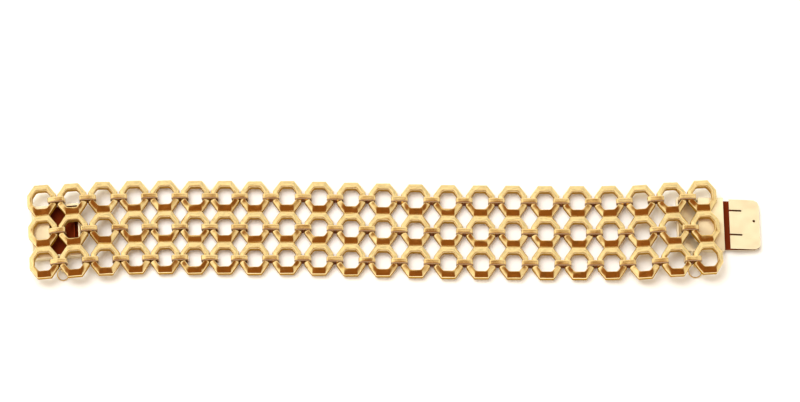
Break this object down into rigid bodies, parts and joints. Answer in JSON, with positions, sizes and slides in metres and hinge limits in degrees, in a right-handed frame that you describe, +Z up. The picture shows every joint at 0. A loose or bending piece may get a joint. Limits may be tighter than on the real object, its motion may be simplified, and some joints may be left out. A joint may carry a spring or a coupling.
{
  "type": "chain bracelet",
  "caption": "Broad chain bracelet of octagonal links in rows, joined by strap links, opened and laid flat, with a box clasp and folded spring tongue.",
  "frame": {"origin": "on the surface that the bracelet lies on, under the middle of its outline", "axes": "+X along the bracelet from the clasp box to the clasp tongue, +Y across it, +Z up"},
  "size_m": [0.1925, 0.028, 0.0049],
  "materials": {
    "gold": "polished",
    "pale_gold": "polished"
  },
  "bodies": {
    "root": {"clasp_box": "gold", "clasp_tongue": "gold", "panel_02": "gold", "panel_03": "gold", "panel_04": "gold", "panel_05": "gold", "panel_06": "gold", "panel_07": "gold", "panel_08": "gold", "panel_09": "gold", "panel_10": "gold", "panel_11": "gold", "panel_12": "gold", "panel_13": "gold", "panel_14": "gold", "panel_15": "gold", "panel_16": "gold", "panel_17": "gold", "panel_18": "gold", "panel_19": "gold", "panel_20": "gold", "panel_21": "gold", "straps_01": "gold", "straps_02": "gold", "straps_03": "gold", "straps_04": "gold", "straps_05": "gold", "straps_06": "gold", "straps_07": "gold", "straps_08": "gold", "straps_09": "gold", "straps_10": "gold", "straps_11": "gold", "straps_12": "gold", "straps_13": "gold", "straps_14": "gold", "straps_15": "gold", "straps_16": "gold", "straps_17": "gold", "straps_18": "gold", "straps_19": "gold", "straps_20": "gold", "straps_21": "gold", "safety_link_left": "pale_gold", "safety_ring_left": "pale_gold", "safety_link_right": "pale_gold", "safety_ring_right": "pale_gold"}
  },
  "joints": []
}
